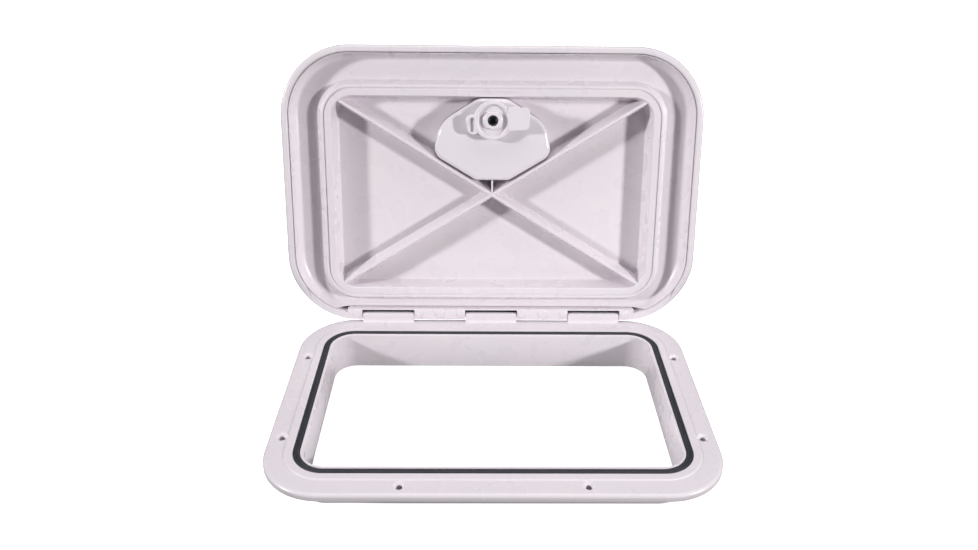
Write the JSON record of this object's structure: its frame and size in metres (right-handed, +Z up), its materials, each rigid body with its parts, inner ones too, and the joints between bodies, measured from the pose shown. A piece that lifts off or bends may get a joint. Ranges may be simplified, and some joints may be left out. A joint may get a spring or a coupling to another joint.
{
  "type": "marine deck hatch",
  "caption": "Low white plastic deck hatch with a hinged lid standing open, a rubber seal and a quarter-turn latch.",
  "frame": {"origin": "underside of the frame's flange, which is the deck plane, at the middle of the hinge side", "axes": "+X along the hinge, +Y from the latch side to the hinge side, +Z up off the deck"},
  "size_m": [0.375, 0.308, 0.2803],
  "materials": {
    "white_plastic": "moulded, satin gloss",
    "black_rubber": "matt extruded seal",
    "stainless_steel": "satin"
  },
  "bodies": {
    "hatch_frame": {"frame": "white_plastic", "gasket": "black_rubber", "keeper_plate": "stainless_steel", "keeper_screw_1": "stainless_steel", "keeper_screw_2": "stainless_steel"},
    "lid": {"lid_outer_shell": "white_plastic", "lid_inner_liner": "white_plastic", "latch_dish": "white_plastic", "dish_seal": "black_rubber", "hinge_pin_1": "stainless_steel", "hinge_pin_2": "stainless_steel", "hinge_pin_3": "stainless_steel", "hinge_pin_4": "stainless_steel", "hinge_pin_5": "stainless_steel", "hinge_pin_6": "stainless_steel"},
    "latch": {"cam": "white_plastic", "cam_screw": "stainless_steel", "cam_washer": "stainless_steel", "wave_washer": "stainless_steel", "latch_spindle": "stainless_steel", "spindle_o_ring": "black_rubber", "latch_handle": "white_plastic"}
  },
  "joints": [
    {"name": "lid_hinge", "type": "hinge", "parent": "hatch_frame", "child": "lid", "pos_m": [0, 0.012, 0.0106], "axis": [1, 0, 0], "range_deg": [0, 104]},
    {"name": "latch_turn", "type": "hinge", "parent": "lid", "child": "latch", "pos_m": [0, 0.05118, 0.19005], "axis": [0, -0.9703, 0.2419], "range_deg": [0, 90]}
  ]
}
